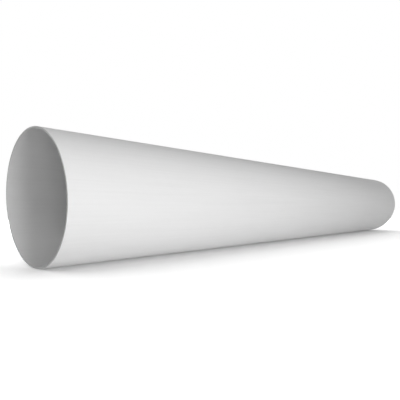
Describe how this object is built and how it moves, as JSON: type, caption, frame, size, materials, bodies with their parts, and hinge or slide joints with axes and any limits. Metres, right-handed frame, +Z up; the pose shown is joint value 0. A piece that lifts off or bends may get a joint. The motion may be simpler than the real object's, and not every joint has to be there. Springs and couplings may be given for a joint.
{
  "type": "ventilation pipe",
  "caption": "Plain round ventilation pipe: a straight thin-walled rigid plastic tube with square-cut open ends, joined by fittings that slide over it or into its bore.",
  "frame": {"origin": "on the floor, under the middle of the pipe as it lies on its side", "axes": "X along the pipe's axis, Z up"},
  "size_m": [1, 0.15, 0.1499],
  "materials": {
    "white_pvc": "satin"
  },
  "bodies": {
    "root": {"pipe": "white_pvc"}
  },
  "joints": []
}
